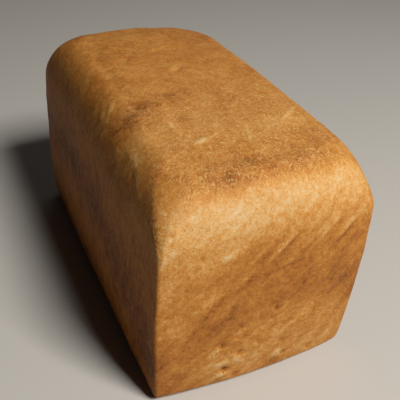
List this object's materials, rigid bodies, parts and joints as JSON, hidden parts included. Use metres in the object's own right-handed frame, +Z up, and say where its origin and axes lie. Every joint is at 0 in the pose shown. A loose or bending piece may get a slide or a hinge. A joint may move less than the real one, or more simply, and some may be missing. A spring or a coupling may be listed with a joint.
{
  "type": "tin loaf of bread",
  "caption": "Whole uncut tin loaf of white bread: upright swollen sides printed by the tin, large soft shoulders and a nearly flat golden brown top.",
  "frame": {"origin": "middle of the flat base, on the surface that the loaf stands on", "axes": "+Z up, +Y along the loaf's length towards its back end, +X across its width; the front short end faces -Y"},
  "size_m": [0.108, 0.195, 0.1145],
  "materials": {
    "crust": "dull golden brown baked crust"
  },
  "bodies": {
    "root": {"loaf": "crust"}
  },
  "joints": []
}
